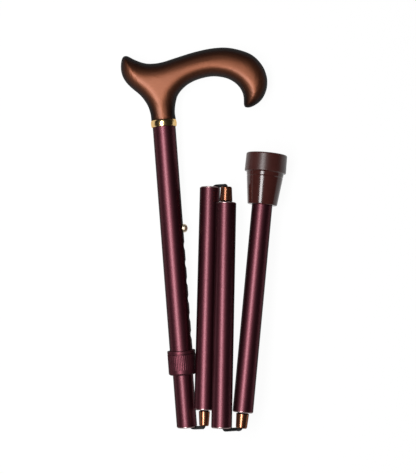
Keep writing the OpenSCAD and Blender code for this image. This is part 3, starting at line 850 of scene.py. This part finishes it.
def smooth_path(points, steps=6):
    """Even curve through the points, ends included."""
    ends = [points[0] * 2 - points[1]] + points + [points[-1] * 2 - points[-2]]
    path = []
    for a, b, c, d in zip(ends, ends[1:], ends[2:], ends[3:]):
        for step in range(steps):
            t = step / steps
            path.append(0.5 * (2 * b + (c - a) * t + (2 * a - 5 * b + 4 * c - d) * t ** 2
                               + (3 * b - a - 3 * c + d) * t ** 3))
    return path + [points[-1]]


def path_length(path):
    return sum((b - a).length for a, b in zip(path, path[1:]))


def braided_cord(name, path, body, node, cord_r=CORD_R):
    """A stretch of cord along a path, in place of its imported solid."""
    mesh = bpy.data.meshes.new(name)
    mesh.from_pydata(path, [(i, i + 1) for i in range(len(path) - 1)], [])
    length = path_length(path)
    steps = max(FEWEST_STEPS, round(length / BRAID_STEP))
    cord = BRAID.make(mesh, CORD, points=steps, turns=length / BRAID_PITCH, strands=STRANDS,
                      radius=cord_r - STRAND_R - WEAVE, strand_radius=STRAND_R, weave=WEAVE)
    return new_object(name, cord, CORD, body, "cord_black", node)


# Route of a bend: out of a mouth, then into the next plug; across and along, in mm
LEAVE_ROUTE = [(0, -10), (0.1, -8), (0.5, -6), (1.1, -4), (1.9, -2.2), (3.1, -0.4), (4.8, 1), (7.2, 1.6)]
ENTER_ROUTE = [(4.6, 1.5), (2.6, 1.45), (1, 0.8), (0.1, -0.6), (0, -2.5)]
# Both ends of a bend hang towards the table
HANG = 1.1
# The slack cord is thicker in a bend
BEND_R = 1.45 * MM


def cord_bend(number, body, mouth, mouth_way, tip, tip_way):
    """Bend from a mouth to a plug."""
    def hung(way, along):
        return flat_to(flat_to(way, along).normalized() - Vector((0, 0, HANG)), along).normalized()

    across, back = hung(tip - mouth, mouth_way), hung(mouth - tip, tip_way)
    points = [mouth + (a * across + b * mouth_way) * MM for a, b in LEAVE_ROUTE]
    points += [tip + (a * back + b * tip_way) * MM for a, b in ENTER_ROUTE]
    bend = braided_cord(f"cord_bend_braid_{number}", smooth_path(points), body,
                        f"cord_bend_{number}", BEND_R)
    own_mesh(bend)


for number, body, tube, tube_way, plug, plug_way in (
        (1, "inner_section", "inner_tube", -UP_1, "spigot_2", -UP_2),
        (2, "second_section", "tube_2", UP_2, "spigot_3", UP_3),
        (3, "third_section", "tube_3", -UP_3, "spigot_4", -UP_4)):
    cord_bend(number, body, end_centre(tube, tube_way), tube_way, end_centre(plug, plug_way), plug_way)

for number, body, up in ((1, "inner_section", UP_1), (2, "second_section", UP_2),
                         (3, "third_section", UP_3), (4, "fourth_section", UP_4)):
    run = f"cord_run_{number}"
    braided_cord(f"cord_run_braid_{number}", [end_centre(run, -up), end_centre(run, up)], body, run)

# Knots at the cord's ends
KNOT_TURNS = 1.75
KNOT_WIND_R = 1.6 * MM
KNOT_STEPS = 40


def stop_knot(node, body, up):
    """Cord wound tight on itself behind an anchor."""
    low, high = span_along(node, up)
    place = section_matrix(end_centre(node, -up), up)
    path = []
    for step in range(KNOT_STEPS + 1):
        share = step / KNOT_STEPS
        reach = KNOT_WIND_R * math.sin(math.pi * share) ** 0.5 if 0 < share < 1 else 0.0
        angle = 2 * math.pi * KNOT_TURNS * share
        wound = Vector((reach * math.cos(angle), reach * math.sin(angle), (high - low) * share))
        path.append(place @ wound)
    braided_cord(node.replace("cord_", "wound_"), path, body, node)


stop_knot("cord_knot_top", "inner_section", UP_1)
stop_knot("cord_knot_bottom", "fourth_section", UP_4)


# Floor, light and camera

FLOOR_SIZE = 40.0
# Share of white in the floor as the eye sees it; the rest is lit and shaded
FLOOR_GLOW = 0.96


def plain_floor():
    """Pale floor, white to the eye, which keeps the shadow."""
    finish = Finish("pale_floor")
    finish.set(Base_Color=FLOOR_PALE, Roughness=0.9, Specular_IOR_Level=0.0)
    rays = finish.node("ShaderNodeLightPath").outputs
    seen = finish.math("ADD", finish.math("ADD", rays["Is Camera Ray"], rays["Is Glossy Ray"]),
                       rays["Is Transmission Ray"])
    glow = finish.node("ShaderNodeEmission")
    mix = finish.node("ShaderNodeMixShader")
    finish.link(finish.math("MULTIPLY", seen, FLOOR_GLOW), mix.inputs[0])
    finish.link(finish.shader.outputs[0], mix.inputs[1])
    finish.link(glow.outputs[0], mix.inputs[2])
    finish.link(mix.outputs[0], finish.tree.nodes["Material Output"].inputs["Surface"])
    bpy.ops.mesh.primitive_plane_add(size=FLOOR_SIZE, location=(0, 0, 0))
    floor = bpy.context.object
    floor.name = "floor"
    floor.data.materials.append(finish.material)


def soft_light(name, place, aim, size, power):
    """White rectangular light turned towards its aim."""
    data = bpy.data.lights.new(name, "AREA")
    data.shape = "RECTANGLE"
    data.size, data.size_y = size
    data.energy = power
    light = bpy.data.objects.new(name, data)
    light.location = place
    light.rotation_euler = (Vector(aim) - Vector(place)).to_track_quat("-Z", "Y").to_euler()
    bpy.context.scene.collection.objects.link(light)


def studio_world(overhead, horizon, rise):
    """Dim overhead, pale towards the horizon; the change is done at a given rise."""
    world = bpy.data.worlds.new("studio")
    bpy.context.scene.world = world
    world.use_nodes = True
    tree = world.node_tree
    ray = tree.nodes.new("ShaderNodeTexCoord")
    parts = tree.nodes.new("ShaderNodeSeparateXYZ")
    level = tree.nodes.new("ShaderNodeMapRange")
    level.interpolation_type = "SMOOTHSTEP"
    for name, number in (("From Min", 0.0), ("From Max", rise), ("To Min", horizon), ("To Max", overhead)):
        level.inputs[name].default_value = number
    tree.links.new(ray.outputs["Generated"], parts.inputs[0])
    tree.links.new(parts.outputs["Z"], level.inputs["Value"])
    background = tree.nodes["Background"]
    background.inputs["Color"].default_value = (1, 1, 1, 1)
    tree.links.new(level.outputs["Result"], background.inputs["Strength"])


# Picture's width in pixels, and the size of a pixel on the cane
PHOTO_WIDTH = 416
PHOTO_SCALE = 0.786 * MM
CAMERA_DISTANCE = 1.0
CAMERA_LEVEL = 12 * MM
# Middle of the picture from the ring's top, across and along the table
CAMERA_OFFSET = (34.87 * MM, -91.66 * MM)
SENSOR = 36.0


def photo_camera():
    """Camera that looks straight down on the table."""
    data = bpy.data.cameras.new("camera")
    data.sensor_fit = "HORIZONTAL"
    data.sensor_width = SENSOR
    data.lens = SENSOR * CAMERA_DISTANCE / (PHOTO_WIDTH * PHOTO_SCALE)
    camera = bpy.data.objects.new("camera", data)
    camera.location = (RING_TOP.x + CAMERA_OFFSET[0], RING_TOP.y + CAMERA_OFFSET[1],
                       CAMERA_DISTANCE + CAMERA_LEVEL)
    bpy.context.scene.collection.objects.link(camera)
    bpy.context.scene.camera = camera


plain_floor()
soft_light("key", place=(-0.33, -0.04, 1.0), aim=(0, -0.04, 0), size=(0.82, 0.28), power=17.5)
studio_world(overhead=0.02, horizon=0.26, rise=0.18)
photo_camera()
bpy.context.scene.view_settings.view_transform = "Standard"
